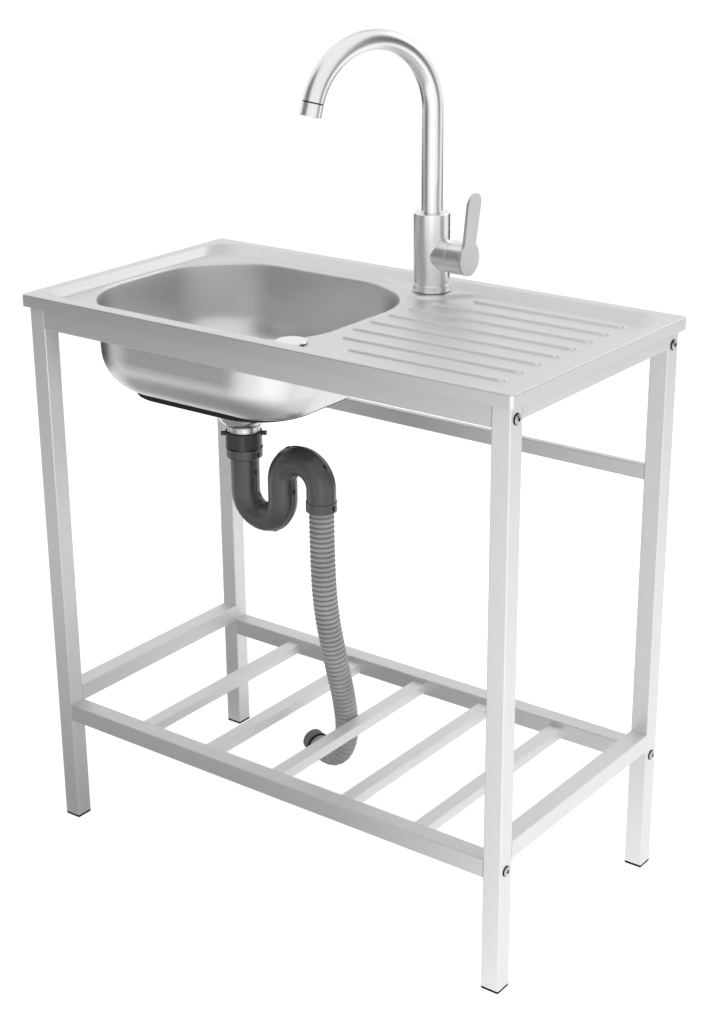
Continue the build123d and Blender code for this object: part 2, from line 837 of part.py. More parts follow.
flange_z = bowl_floor_z + flange_gasket_height
flange_top = flange_z + flange_thickness
cup_floor = flange_top - flange_cup_depth
flange_gasket = ring(
    waste_x, waste_y, bowl_floor_z, flange_gasket_height, flange_radius - 1, waste_hole_radius
)
export(flange_gasket, "flange_gasket")

with BuildPart() as waste_flange:
    add(
        turned(
            [
                (flange_radius, flange_z),
                (flange_radius - 0.8, flange_top - 0.2),
                (flange_cup_radius + 1.5, flange_top),
                (flange_cup_radius - flange_cup_wall, flange_top - 1.5),
                (flange_cup_radius - flange_cup_wall, cup_floor + flange_thickness),
                (0, cup_floor + flange_thickness),
                (0, cup_floor),
                (flange_cup_radius, cup_floor),
                (flange_cup_radius, flange_z),
            ]
        ).part
    )
    with BuildSketch(Plane((waste_x, waste_y, cup_floor - 1))):
        with PolarLocations(drain_hole_circle, drain_hole_count):
            Circle(drain_hole_radius)
        Circle(waste_screw_radius + bolt_hole_clearance)
    extrude(amount=flange_thickness + 2, mode=Mode.SUBTRACT)
export(waste_flange, "waste_flange")

cup_top = bowl_floor_z - sheet - cup_gasket_height
cup_gasket = ring(waste_x, waste_y, cup_top, cup_gasket_height, cup_radius + 1, waste_hole_radius)
export(cup_gasket, "cup_gasket")

neck_top = cup_top - cup_straight - cup_taper
neck_end = neck_top - neck_length
nut_top = neck_top - nut_gap
with BuildPart() as waste_cup:
    with BuildSketch(Plane((waste_x, waste_y, 0), x_dir=(1, 0, 0), z_dir=(0, -1, 0))):
        with BuildLine():
            taper_top = cup_top - cup_straight
            Line((cup_radius - cup_wall, cup_top), (cup_radius, cup_top))
            Line((cup_radius, cup_top), (cup_radius, taper_top))
            ThreePointArc(
                (cup_radius, taper_top),
                (cup_radius - 5.0, taper_top - 0.6 * cup_taper),
                (neck_radius + 1.6, neck_top),
            )
            threads = [(neck_radius + 1.6, neck_top), (neck_radius - thread_depth, neck_top)]
            count = int(neck_length / thread_pitch)
            for index in range(count):
                z = neck_top - index * thread_pitch
                threads += [
                    (neck_radius - thread_depth, z - 0.25 * thread_pitch),
                    (neck_radius, z - 0.45 * thread_pitch),
                    (neck_radius, z - 0.75 * thread_pitch),
                    (neck_radius - thread_depth, z - thread_pitch),
                ]
            threads += [(neck_radius - thread_depth, neck_end), (neck_bore_radius, neck_end)]
            Polyline(*threads)
            Line((neck_bore_radius, neck_end), (neck_bore_radius, neck_top))
            ThreePointArc(
                (neck_bore_radius, neck_top),
                (cup_radius - cup_wall - 5.0, taper_top - 0.55 * cup_taper),
                (cup_radius - cup_wall, taper_top),
            )
            Line((cup_radius - cup_wall, taper_top), (cup_radius - cup_wall, cup_top))
        make_face()
    revolve(axis=Axis((waste_x, waste_y, 0), (0, 0, 1)))
    boss_top = neck_top
    arm_length = neck_bore_radius + (neck_radius - thread_depth - neck_bore_radius) / 2
    with BuildSketch(Plane((waste_x, waste_y, boss_top))):
        Circle(boss_radius)
        with PolarLocations(arm_length / 2, 3):
            Rectangle(arm_length, arm_width)
    extrude(amount=-boss_height)
    with BuildSketch(Plane((waste_x, waste_y, boss_top))):
        Circle(waste_screw_radius + thread_clearance)
    extrude(amount=-boss_height, mode=Mode.SUBTRACT)
export(waste_cup, "waste_cup")

screw_z = cup_floor + flange_thickness
with BuildPart() as waste_screw:
    with BuildSketch(Plane((waste_x, waste_y, screw_z))):
        Circle(1.8 * waste_screw_radius)
    extrude(amount=waste_screw_head)
    fillet(waste_screw.edges().group_by(Axis.Z)[-1], 1)
    with BuildSketch(Plane((waste_x, waste_y, screw_z))):
        Circle(waste_screw_radius)
    extrude(amount=-(screw_z - boss_top + boss_height - 1))
    with BuildSketch(Plane((waste_x, waste_y, screw_z + waste_screw_head))):
        Rectangle(2.5 * waste_screw_radius, 1)
    extrude(amount=-1.2, mode=Mode.SUBTRACT)
export(waste_screw, "waste_screw")

basket_z = screw_z + free_clearance + basket_seal_height
basket_seal = ring(
    waste_x,
    waste_y,
    screw_z + free_clearance,
    basket_seal_height,
    basket_radius - 1.5,
    drain_hole_circle + drain_hole_radius + 1,
)
export(basket_seal, "basket_seal")

with BuildPart() as basket:
    with BuildSketch(Plane((waste_x, waste_y, basket_z))):
        Circle(basket_radius)
    extrude(amount=basket_height)
    with BuildSketch(Plane((waste_x, waste_y, basket_z + basket_wall))):
        Circle(basket_radius - basket_wall)
    extrude(amount=basket_height, mode=Mode.SUBTRACT)
    with BuildSketch(Plane((waste_x, waste_y, basket_z - 1))):
        for circle, count in ((11, 8), (17, 12), (22.5, 16)):
            with PolarLocations(circle, count):
                Circle(basket_hole_radius)
    extrude(amount=basket_wall + 2, mode=Mode.SUBTRACT)
    with BuildSketch(Plane((waste_x, waste_y, basket_z))):
        Circle(knob_stem_radius)
    extrude(amount=basket_height - 2 * knob_radius)
    with Locations((waste_x, waste_y, basket_z + basket_height - 1.6 * knob_radius)):
        Sphere(knob_radius)
export(basket, "basket")


# Trap

nut_bottom = nut_top - trap_nut_height
with BuildPart() as trap_nut:
    with BuildSketch(Plane((waste_x, waste_y, nut_top)).rotated((0, 0, 3))):
        Circle(trap_nut_radius)
        RegularPolygon(trap_nut_flats / 2, 6, major_radius=False, mode=Mode.INTERSECT)
    extrude(amount=-trap_nut_height)
    lug_plane = Plane((waste_x, waste_y, nut_top - lug_drop), z_dir=Vector(1, 0, 0).rotate(Axis.Z, lug_turn))
    with BuildSketch(lug_plane):
        Circle(lug_radius)
    extrude(amount=lug_reach, both=True)
    with BuildSketch(Plane((waste_x, waste_y, nut_top))):
        Circle(neck_radius + free_clearance)
    extrude(amount=-trap_nut_height, mode=Mode.SUBTRACT)
export(trap_nut, "trap_nut")

with BuildPart() as trap_seals:
    for bottom, outer in ((nut_top, trap_nut_radius - 0.8), (nut_bottom - seal_height, collar_radius + 0.3)):
        with BuildSketch(Plane((waste_x, waste_y, bottom))):
            Circle(outer)
            Circle(neck_radius + free_clearance, mode=Mode.SUBTRACT)
        extrude(amount=seal_height)
export(trap_seals, "trap_seals")

collar_top = nut_bottom - seal_height
collar_bottom = collar_top - collar_height
inlet_x = waste_x
low_z = collar_bottom - trap_drop
high_z = low_z + trap_rise
mid_x = inlet_x + 2 * trap_bend_radius
outlet_x = mid_x + 2 * trap_bend_radius
outlet_z = high_z - trap_outlet_drop - outlet_collar_height
trap_plane = Plane((0, waste_y, 0), x_dir=(1, 0, 0), z_dir=(0, -1, 0))


def trap_route():
    with BuildLine(trap_plane) as route:
        Line((inlet_x, collar_bottom + 2), (inlet_x, low_z))
        ThreePointArc(
            (inlet_x, low_z), (inlet_x + trap_bend_radius, low_z - trap_bend_radius), (mid_x, low_z)
        )
        Line((mid_x, low_z), (mid_x, high_z))
        ThreePointArc(
            (mid_x, high_z), (mid_x + trap_bend_radius, high_z + trap_bend_radius), (outlet_x, high_z)
        )
        Line((outlet_x, high_z), (outlet_x, outlet_z))
    return route.line


with BuildPart() as s_trap:
    add(trap_route())
    with BuildSketch(Plane((inlet_x, waste_y, collar_bottom + 2), z_dir=(0, 0, -1))):
        Circle(trap_radius)
        Rectangle(2 * (trap_radius + seam_height), seam_width)
    sweep()
    with BuildSketch(Plane((inlet_x, waste_y, collar_bottom))):
        Circle(collar_radius)
    extrude(amount=collar_height)
    circles = s_trap.edges().filter_by(GeomType.CIRCLE)
    collar_edges = circles.filter_by(lambda edge: abs(edge.radius - collar_radius) < 0.01)
    fillet(collar_edges.sort_by(Axis.Z)[0], 3)
    with BuildSketch(Plane((outlet_x, waste_y, outlet_z))):
        Circle(outlet_collar_radius)
    extrude(amount=outlet_collar_height)
    # Ejector tabs along the seam
    tab_half = trap_radius + tab_height
    for angle, middle_x, middle_z in (
        (115, mid_x + trap_bend_radius, high_z),
        (40, mid_x + trap_bend_radius, high_z),
        (-70, inlet_x + trap_bend_radius, low_z),
    ):
        heading = Vector(math.cos(math.radians(angle)), 0, math.sin(math.radians(angle)))
        spot = Vector(middle_x, waste_y, middle_z) + heading * (trap_bend_radius + tab_half - tab_height)
        with BuildSketch(Plane(spot, x_dir=(0, 1, 0), z_dir=heading)):
            Rectangle(tab_width, tab_length)
        extrude(amount=tab_height)
    for tab_x, tab_z, out in (
        (inlet_x, collar_bottom - 0.4 * trap_drop, trap_radius),
        (mid_x, (low_z + high_z) / 2, trap_radius),
        (outlet_x, outlet_z + outlet_collar_height / 2, outlet_collar_radius),
        (inlet_x, collar_bottom + collar_height / 2, collar_radius),
    ):
        with BuildSketch(Plane((tab_x + out - 1, waste_y, tab_z), x_dir=(0, 1, 0), z_dir=(1, 0, 0))):
            Rectangle(tab_width, tab_length)
        extrude(amount=tab_height + 1)
    with BuildPart(mode=Mode.PRIVATE) as trap_bore:
        add(trap_route())
        with BuildSketch(Plane((inlet_x, waste_y, collar_bottom + 2), z_dir=(0, 0, -1))):
            Circle(trap_radius - trap_wall)
        sweep()
        with BuildSketch(Plane((outlet_x, waste_y, outlet_z))):
            Circle(trap_radius + 5)
        extrude(amount=3, mode=Mode.SUBTRACT)
        with BuildSketch(Plane((outlet_x, waste_y, outlet_z))):
            Circle(hose_bore_radius)
        extrude(amount=3.5)
        with BuildSketch(Plane((inlet_x, waste_y, collar_bottom + 1))):
            Circle(neck_radius + free_clearance)
        extrude(amount=collar_height)
    add(trap_bore.part, mode=Mode.SUBTRACT)
export(s_trap, "s_trap")


# Drain hose: ribs along straight runs joined by tangent arcs

hose_points = [
    Vector(outlet_x, waste_y, outlet_z),
    Vector(outlet_x, waste_y, outlet_z - 62),
    Vector(-34, -6.5, 345),
    Vector(-29.5, 9.5, 262),
    Vector(-29.5, 29, 192),
    Vector(-29, 34.5, 140),
    Vector(-40, 34, 106),
    Vector(-62, 33.6, 94),
    Vector(-90, 44, 98.5),
]
hose_radii = []
for before, here, after in zip(hose_points, hose_points[1:], hose_points[2:]):
    turn = (here - before).get_angle(after - here)
    shorter = min((here - before).length, (after - here).length)
    hose_radii.append(0.45 * shorter / math.tan(math.radians(turn / 2)))
print("hose bend radii", [round(radius, 1) for radius in hose_radii])

with BuildLine() as hose_route:
    FilletPolyline(*hose_points, radius=hose_radii)
hose_path = hose_route.wires()[0]
hose_length = hose_path.length
hose_side = Vector(0.36, 0.93, 0)
rib_total = int(hose_length / hose_rib_pitch)
rib_step = hose_length / rib_total


def hose_plane(distance):
    place = hose_path.position_at(distance / hose_length)
    heading = hose_path.tangent_at(distance / hose_length)
    side = hose_side - heading * hose_side.dot(heading)
    return Plane(place, x_dir=side, z_dir=heading)


with BuildPart() as drain_hose:
    for index in range(rib_total):
        for share, radius in (
            (0.0, hose_valley_radius),
            (0.3, hose_valley_radius),
            (0.5, hose_rib_radius),
            (0.8, hose_rib_radius),
        ):
            with BuildSketch(hose_plane((index + share) * rib_step)):
                Circle(radius)
    with BuildSketch(hose_plane(hose_length)):
        Circle(hose_valley_radius)
    loft(ruled=True)
    with BuildPart(mode=Mode.PRIVATE) as hose_bore:
        add(hose_route.line)
        with BuildSketch(hose_plane(0)):
            Circle(hose_bore_radius)
        sweep()
    add(hose_bore.part, mode=Mode.SUBTRACT)
print("hose length", round(hose_length, 1), "ribs", rib_total)
rib_area = math.pi * (
    0.35 * hose_valley_radius**2 + 0.35 * hose_rib_radius**2 + 0.3 * hose_valley_radius * hose_rib_radius
)
expected = hose_length * (rib_area - math.pi * hose_bore_radius**2)
print("hose volume", round(drain_hose.part.volume), "section times length", round(expected))
export(drain_hose, "drain_hose")

hose_end = hose_points[-1]
end_heading = (hose_points[-1] - hose_points[-2]).normalized()
with BuildPart() as hose_ring:
    with BuildSketch(Plane(hose_end, z_dir=end_heading)):
        Circle(hose_ring_radius)
        Circle(hose_bore_radius, mode=Mode.SUBTRACT)
    extrude(amount=hose_ring_length)
export(hose_ring, "hose_ring")

with BuildPart() as hose_connector:
    connector_start = hose_end + end_heading * hose_ring_length
    with BuildSketch(Plane(connector_start, z_dir=end_heading)):
        Circle(connector_radius)
    extrude(amount=connector_length)
    far_edge = hose_connector.edges().sort_by(Axis(connector_start, end_heading))[-1]
    fillet(far_edge, connector_round - 0.5)
    with BuildSketch(Plane(connector_start, z_dir=end_heading)):
        Circle(connector_bore_radius)
    extrude(amount=connector_length, mode=Mode.SUBTRACT)
export(hose_connector, "hose_connector")


# Cover of the spare tap hole

cover_z = deck_z + cover_washer_height
with BuildPart() as cover_disc:
    with BuildSketch(Plane((tap_x, spare_y, cover_z))):
        Circle(cover_radius)
    extrude(amount=cover_thickness)
    fillet(cover_disc.edges().group_by(Axis.Z)[-1], 1.2)
    with BuildSketch(Plane((tap_x, spare_y, cover_z))):
        Circle(cover_stud_radius)
    extrude(amount=-cover_stud_length)
export(cover_disc, "cover_disc")

cover_washer = ring(
    tap_x, spare_y, deck_z, cover_washer_height, cover_washer_radius, cover_stud_radius + free_clearance
)
export(cover_washer, "cover_washer")

with BuildPart() as cover_nut:
    with BuildSketch(Plane((tap_x, spare_y, deck_z - sheet))):
        SlotOverall(cover_bar_length, cover_bar_width, rotation=cover_bar_turn)
    extrude(amount=-cover_nut_height)
    with BuildSketch(Plane((tap_x, spare_y, deck_z - sheet - cover_nut_height))):
        Rectangle(wing_span, wing_thickness)
    extrude(amount=-wing_height)
    with BuildSketch(Plane((tap_x, spare_y, deck_z - sheet - cover_nut_height))):
        Circle(cover_stud_radius + 2.5)
    extrude(amount=-wing_height / 2)
    with BuildSketch(Plane((tap_x, spare_y, deck_z - sheet))):
        Circle(cover_stud_radius + thread_clearance)
    extrude(amount=-(cover_nut_height + wing_height), mode=Mode.SUBTRACT)
export(cover_nut, "cover_nut")
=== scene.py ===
import bpy
import json
import math
from mathutils import Matrix, Vector


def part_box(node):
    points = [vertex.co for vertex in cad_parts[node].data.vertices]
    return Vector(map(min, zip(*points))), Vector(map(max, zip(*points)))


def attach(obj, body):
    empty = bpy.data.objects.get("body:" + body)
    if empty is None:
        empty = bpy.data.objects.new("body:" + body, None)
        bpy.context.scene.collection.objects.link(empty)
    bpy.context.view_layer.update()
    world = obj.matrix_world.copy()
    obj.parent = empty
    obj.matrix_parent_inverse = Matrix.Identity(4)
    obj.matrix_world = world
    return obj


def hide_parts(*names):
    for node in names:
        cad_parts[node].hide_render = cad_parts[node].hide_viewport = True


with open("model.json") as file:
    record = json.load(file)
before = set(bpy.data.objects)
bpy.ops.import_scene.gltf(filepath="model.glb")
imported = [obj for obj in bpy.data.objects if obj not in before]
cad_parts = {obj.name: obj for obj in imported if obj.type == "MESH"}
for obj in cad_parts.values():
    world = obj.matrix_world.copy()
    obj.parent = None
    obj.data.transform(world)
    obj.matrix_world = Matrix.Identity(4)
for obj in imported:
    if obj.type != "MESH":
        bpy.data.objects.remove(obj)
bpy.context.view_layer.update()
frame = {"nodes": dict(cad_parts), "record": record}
nodes = frame["nodes"]
print("frame loaded:", len(nodes), "nodes")

cameraView = {                  # the photograph's viewpoint
    "place": (1.402883, -1.833762, 1.384385),
    "azimuth": 0.6494,          # radians, turned round Z
    "elevation": 0.3686,
    "roll": -0.0092,
    "lens": 65.67,              # mm
    "sensor": 36,               # mm, along the long side
}


def placeCamera(view):
    azimuth, elevation, roll = view["azimuth"], view["elevation"], view["roll"]
    level = math.cos(elevation)
    back = Vector((math.sin(azimuth) * level, -math.cos(azimuth) * level, math.sin(elevation)))
    side = Vector((math.cos(azimuth), math.sin(azimuth), 0))
    up = back.cross(side)
    right = math.cos(roll) * side + math.sin(roll) * up
    top = -math.sin(roll) * side + math.cos(roll) * up
    data = bpy.data.cameras.new("camera")
    data.lens = view["lens"]
    data.sensor_width = view["sensor"]
    camera = bpy.data.objects.new("camera", data)
    bpy.context.scene.collection.objects.link(camera)
    turn = Matrix((right, top, back)).transposed().to_4x4()
    camera.matrix_world = Matrix.Translation(view["place"]) @ turn
    bpy.context.scene.camera = camera


placeCamera(cameraView)
print("camera placed")

hose = {                        # the ribbed drain hose, in metres
    "route": [                  # the same points as the part's own route
        (-0.036, -0.009, 0.4902),
        (-0.036, -0.009, 0.4282),
        (-0.034, -0.0065, 0.345),
        (-0.0295, 0.0095, 0.262),
        (-0.0295, 0.029, 0.192),
        (-0.029, 0.0345, 0.140),
        (-0.040, 0.034, 0.106),
        (-0.062, 0.0336, 0.094),
        (-0.090, 0.044, 0.0985),
    ],
    "routeSteps": 60,           # points between two of the route's own
    "ribPitch": 0.0070,
    "ribRadius": 0.0172,
    "valleyRadius": 0.0156,
    "boreRadius": 0.0130,
    "ribFullness": 0.6,         # under 1 makes a crest broader than its valley
    "plainEnd": 0.004,          # no ribs this near either end
    "fadeFrom": 0.12,           # along the hose the ribs grow shallow, as photographed
    "fadeTo": 0.38,
    "fadeShare": 0.55,          # of their height, which is gone at the end of the fade
    "sides": 40,
    "ringsPerRib": 8,
    "boreRings": 60,
    "headingStep": 0.002,       # how far before and after a ring its heading is taken
    "steady": (0.36, 0.93, 0),  # across the bends, so that the rings don't twist
}


def splinePoints(route, steps):
    curve = bpy.data.curves.new("hoseLine", "CURVE")
    curve.dimensions = "3D"
    curve.resolution_u = steps
    line = curve.splines.new("NURBS")
    line.points.add(len(route) - 1)
    for point, place in zip(line.points, route):
        point.co = (*place, 1)
    line.order_u = 3
    line.use_endpoint_u = True
    holder = bpy.data.objects.new("hoseLine", curve)
    mesh = bpy.data.meshes.new_from_object(holder)
    found = [vertex.co.copy() for vertex in mesh.vertices]
    bpy.data.meshes.remove(mesh)
    bpy.data.objects.remove(holder)
    bpy.data.curves.remove(curve)
    return found


def makeHose(settings):
    line = splinePoints(settings["route"], settings["routeSteps"])
    reach = [0.0]               # the length of the line up to each of its points
    for before, after in zip(line, line[1:]):
        reach.append(reach[-1] + (after - before).length)
    length = reach[-1]
    ribs = round(length / settings["ribPitch"])
    rings = ribs * settings["ringsPerRib"]
    sides = settings["sides"]
    steady = Vector(settings["steady"])
    points, faces = [], []

    def along(distance):
        last = len(line) - 1
        index = next((i for i, passed in enumerate(reach) if passed >= distance), last)
        index = max(1, min(last, index))
        share = (distance - reach[index - 1]) / max(reach[index] - reach[index - 1], 1e-9)
        return line[index - 1].lerp(line[index], share)

    def heading(distance):
        step = settings["headingStep"]
        return (along(min(distance + step, length)) - along(max(distance - step, 0))).normalized()

    def ring(distance, radius):
        way = heading(distance)
        across = (steady - way * steady.dot(way)).normalized()
        other = way.cross(across)
        centre = along(distance)
        for side in range(sides):
            angle = 2 * math.pi * side / sides
            points.append(centre + radius * (math.cos(angle) * across + math.sin(angle) * other))

    ribHeight = settings["ribRadius"] - settings["valleyRadius"]
    fadeLength = settings["fadeTo"] - settings["fadeFrom"]
    for index in range(rings + 1):
        phase = (index / settings["ringsPerRib"]) % 1
        crest = (0.5 - 0.5 * math.cos(2 * math.pi * phase)) ** settings["ribFullness"]
        distance = length * index / rings
        if distance < settings["plainEnd"] or distance > length - settings["plainEnd"]:
            crest = 0
        faded = min(1, max(0, (distance - settings["fadeFrom"]) / fadeLength))
        crest = crest * (1 - settings["fadeShare"] * faded)
        ring(distance, settings["valleyRadius"] + crest * ribHeight)
    for index in range(settings["boreRings"] + 1):      # back through the bore
        ring(length * (1 - index / settings["boreRings"]), settings["boreRadius"])
    total = len(points) // sides
    for index in range(total):
        start, end = index * sides, ((index + 1) % total) * sides
        for side in range(sides):
            after = (side + 1) % sides
            faces.append((start + side, start + after, end + after, end + side))
    mesh = bpy.data.meshes.new("ribbedHose")
    mesh.from_pydata([tuple(point) for point in points], [], faces)
    layer = mesh.uv_layers.new(name="around")           # V is metres along the hose
    for polygon in mesh.polygons:
        polygon.use_smooth = True
        for loop in polygon.loop_indices:
            vertex = mesh.loops[loop].vertex_index
            onLine = min(vertex // sides, rings) / rings * length
            layer.data[loop].uv = ((vertex % sides) / sides, onLine)
    mesh.update()
    piece = bpy.data.objects.new("ribbedHose", mesh)
    bpy.context.scene.collection.objects.link(piece)
    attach(piece, "stand")
    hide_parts("drain_hose")
    print("hose length", round(length, 4), "ribs", ribs)
    return piece, length / ribs


ribbedHose, ribSpacing = makeHose(hose)

# a Mix node has a socket of each kind for its two inputs, so they are given by number
numberA, numberB, colourA, colourB, colourOut = 2, 3, 6, 7, 2
white = (1, 1, 1, 1)


def toLinear(code):
    parts = [int(code[i:i + 2], 16) / 255 for i in (1, 3, 5)]
    return tuple(v / 12.92 if v <= 0.04045 else ((v + 0.055) / 1.055) ** 2.4 for v in parts) + (1,)


def perMetre(millimetres):
    return 1000 / millimetres   # a pattern's scale, from the size of one of its features


def addNode(tree, kind, values=None, links=None, **settings):
    made = tree.nodes.new(kind)
    for name, value in settings.items():
        setattr(made, name, value)
    for name, value in (values or {}).items():
        made.inputs[name].default_value = value
    for name, source in (links or {}).items():
        tree.links.new(source, made.inputs[name])
    return made


def startMaterial(name, **shader):
    material = bpy.data.materials.new(name)
    material.use_nodes = True
    tree = material.node_tree
    tree.nodes.clear()
    surface = addNode(tree, "ShaderNodeBsdfPrincipled", shader)
    addNode(tree, "ShaderNodeOutputMaterial", links={"Surface": surface.outputs[0]})
    addNode(tree, "ShaderNodeTexCoord")
    return material


def surfaceOf(material):
    return next(node for node in material.node_tree.nodes if node.type == "BSDF_PRINCIPLED")


def objectPlace(material):
    coordinates = next(node for node in material.node_tree.nodes if node.type == "TEX_COORD")
    return coordinates.outputs["Object"]


def shadeSurface(material, settings, shared, tones, sheen, relief):
    # two tones, a roughness that wanders about its own value, and a fine relief
    tree, surface = material.node_tree, surfaceOf(material)
    spread = settings.get("spread", shared.get("spread"))
    tone = addNode(tree, "ShaderNodeValToRGB", links={"Fac": tones})
    for element, place, colour in zip(tone.color_ramp.elements, (0.5 - spread, 0.5 + spread),
                                      (settings["dark"], settings["pale"])):
        element.position = place
        element.color = toLinear(colour)
    tree.links.new(tone.outputs[0], surface.inputs["Base Color"])
    limits = {"To Min": settings["roughness"] - shared["smoother"],
              "To Max": settings["roughness"] + shared["rougher"]}
    rough = addNode(tree, "ShaderNodeMapRange", limits, {"Value": sheen})
    tree.links.new(rough.outputs[0], surface.inputs["Roughness"])
    depth = {"Strength": shared["relief"], "Distance": settings["depth"] / 1000}
    bump = addNode(tree, "ShaderNodeBump", depth, {"Height": relief})
    tree.links.new(bump.outputs[0], surface.inputs["Normal"])
    return material


# a pixel of the render is about 1.3 mm on the object, so the finest patterns are drawn coarser
# than the real ones: a satin belt's lines are near 0.1 mm apart and a blasting bead's dents 0.2 mm
brushing = {                    # shared by all the metals
    "detail": 6,
    "harshness": 0.7,
    "cloud": 111.11,            # mm, slow changes of tone over a hand's width
    "cloudDetail": 3,
    "cloudShare": 0.12,
    "smoother": 0.05,
    "rougher": 0.07,
    "relief": 0.25,
}

# grain is the size of a streak along X, Y and Z in mm, and depth is its relief in mm
metals = {
    # 304 sheet, pressed and satin brushed along its length: soft pale grey with long fine streaks
    "pressedStainless": {"pale": "#E2E2E2", "dark": "#D6D6D6", "roughness": 0.44,
                         "grain": (11.905, 0.44643, 0.44643), "spread": 0.16, "depth": 0.06},
    # welded 304 tube, satin drawn: bright even grey, with the grain along each tube; the tubes
    # along X take a darker tone than those along Y and Z, as painted shade
    "shadedDrawnTubeX": {"pale": "#E2E2E2", "dark": "#D4D4D4", "roughness": 0.54,
                   "grain": (16.667, 0.43860, 0.43860), "spread": 0.2, "depth": 0.04},
    "drawnTubeY": {"pale": "#EEEEEE", "dark": "#E0E0E0", "roughness": 0.60,
                   "grain": (0.43860, 16.667, 0.43860), "spread": 0.2, "depth": 0.04},
    "drawnTubeZ": {"pale": "#EEEEEE", "dark": "#E0E0E0", "roughness": 0.60,
                   "grain": (0.43860, 0.43860, 16.667), "spread": 0.2, "depth": 0.04},
    # turned stainless of the tap, satin finished: fine lines round it, softer than chrome
    "turnedStainless": {"pale": "#F2F2F2", "dark": "#E6E6E6", "roughness": 0.26,
                        "grain": (2.5, 2.5, 0.23810), "spread": 0.2, "depth": 0.03},
    # bead-blasted stainless lever: even pale satin with no direction
    "blastedStainless": {"pale": "#DCDCDC", "dark": "#D2D2D2", "roughness": 0.42,
                         "grain": (0.56818, 0.56818, 0.56818), "spread": 0.2, "depth": 0.03},
    # polished stainless of the waste and its basket: clear and bright
    "polishedStainless": {"pale": "#E0E0E0", "dark": "#D0D0D0", "roughness": 0.24,
                          "grain": (1.3889, 1.3889, 4.1667), "spread": 0.25, "depth": 0.03},
    # chromium plate on the cover disc: nearly a mirror
    "chromePlate": {"pale": "#EEEEEE", "dark": "#E2E2E2", "roughness": 0.10,
                    "grain": (1.6667, 1.6667, 1.6667), "spread": 0.25, "depth": 0.01},
    # zinc-plated steel screws: middle grey, a little cloudy
    "zincSteel": {"pale": "#C6C6C6", "dark": "#ABABAB", "roughness": 0.30,
                  "grain": (0.625, 0.625, 0.625), "spread": 0.2, "depth": 0.04},
    # turned brass below the deck: warm yellow with fine lines round it
    "machinedBrass": {"pale": "#D9B978", "dark": "#BE9C58", "roughness": 0.28,
                      "grain": (2.0833, 2.0833, 0.25), "spread": 0.2, "depth": 0.04},
}


def brushedMetal(name, settings):
    material = startMaterial(name, Metallic=1.0, Roughness=settings["roughness"])
    tree, place = material.node_tree, objectPlace(material)
    scale = [perMetre(size) for size in settings["grain"]]
    stretch = addNode(tree, "ShaderNodeMapping", {"Scale": scale}, {"Vector": place})
    streaks = {"Scale": 1.0, "Detail": brushing["detail"], "Roughness": brushing["harshness"]}
    lines = addNode(tree, "ShaderNodeTexNoise", streaks, {"Vector": stretch.outputs[0]})
    clouds = {"Scale": perMetre(brushing["cloud"]), "Detail": brushing["cloudDetail"]}
    cloud = addNode(tree, "ShaderNodeTexNoise", clouds, {"Vector": place})
    both = addNode(tree, "ShaderNodeMix", {"Factor": brushing["cloudShare"]},
                   {numberA: lines.outputs["Fac"], numberB: cloud.outputs["Fac"]})
    return shadeSurface(material, settings, brushing, tones=both.outputs[0],
                        sheen=both.outputs[0], relief=lines.outputs["Fac"])


# the texture of a mould is 0.2 to 0.4 mm in the real ones, and is drawn coarser too
moulding = {                    # shared by plastics and rubbers
    "detail": 4,
    "harshness": 0.6,
    "cloud": 45.455,            # mm, the faint flow marks of the moulding
    "cloudDetail": 3,
    "spread": 0.15,
    "smoother": 0.06,
    "rougher": 0.08,
    "relief": 0.3,
}

# speck is the size of a grain of the mould's texture in mm, and depth is its relief in mm
plastics = {
    # injection-moulded polypropylene trap: dark grey with a soft gloss
    "trapPolypropylene": {"pale": "#5A5A5A", "dark": "#525252", "roughness": 0.22,
                          "speck": 1.1111, "depth": 0.05},
    # moulded nylon nut: a little darker and less glossy
    "nutNylon": {"pale": "#424242", "dark": "#3A3A3A", "roughness": 0.36,
                 "speck": 1.1111, "depth": 0.05},
    # extruded ribbed polyethylene hose: light grey and waxy
    "hosePolyethylene": {"pale": "#BCBCBA", "dark": "#A8A8A6", "roughness": 0.40,
                         "speck": 1.4286, "depth": 0.08, "specular": 0.45},
    # EPDM rubber: black and matt
    "blackRubber": {"pale": "#1C1C1C", "dark": "#121212", "roughness": 0.62,
                    "speck": 0.66667, "depth": 0.06, "specular": 0.35},
    # moulded rubber end piece of the hose: middle grey
    "connectorRubber": {"pale": "#7A7A7A", "dark": "#6A6A6A", "roughness": 0.5,
                        "speck": 1.1111, "depth": 0.06, "specular": 0.4},
    # moulded polythene feet: near black, with hardly any shine so close to the pale floor
    "footPolyethylene": {"pale": "#161616", "dark": "#0E0E0E", "roughness": 0.6,
                         "speck": 0.90909, "depth": 0.06, "specular": 0.06},
    # moulded acetal of the cartridge and the wing nut: a warm white
    "whiteAcetal": {"pale": "#E8E8E4", "dark": "#DADAD6", "roughness": 0.34,
                    "speck": 1.1111, "depth": 0.04},
}


def mouldedPlastic(name, settings):
    shader = {"Roughness": settings["roughness"]}
    shader["Specular IOR Level"] = settings.get("specular", 0.5)
    material = startMaterial(name, **shader)
    tree, place = material.node_tree, objectPlace(material)
    specks = {"Scale": perMetre(settings["speck"]), "Detail": moulding["detail"],
              "Roughness": moulding["harshness"]}
    speck = addNode(tree, "ShaderNodeTexNoise", specks, {"Vector": place})
    clouds = {"Scale": perMetre(moulding["cloud"]), "Detail": moulding["cloudDetail"]}
    cloud = addNode(tree, "ShaderNodeTexNoise", clouds, {"Vector": place})
    return shadeSurface(material, settings, moulding, tones=cloud.outputs["Fac"],
                        sheen=speck.outputs["Fac"], relief=speck.outputs["Fac"])


finish = {name: brushedMetal(name, settings) for name, settings in metals.items()}
finish.update({name: mouldedPlastic(name, settings) for name, settings in plastics.items()})


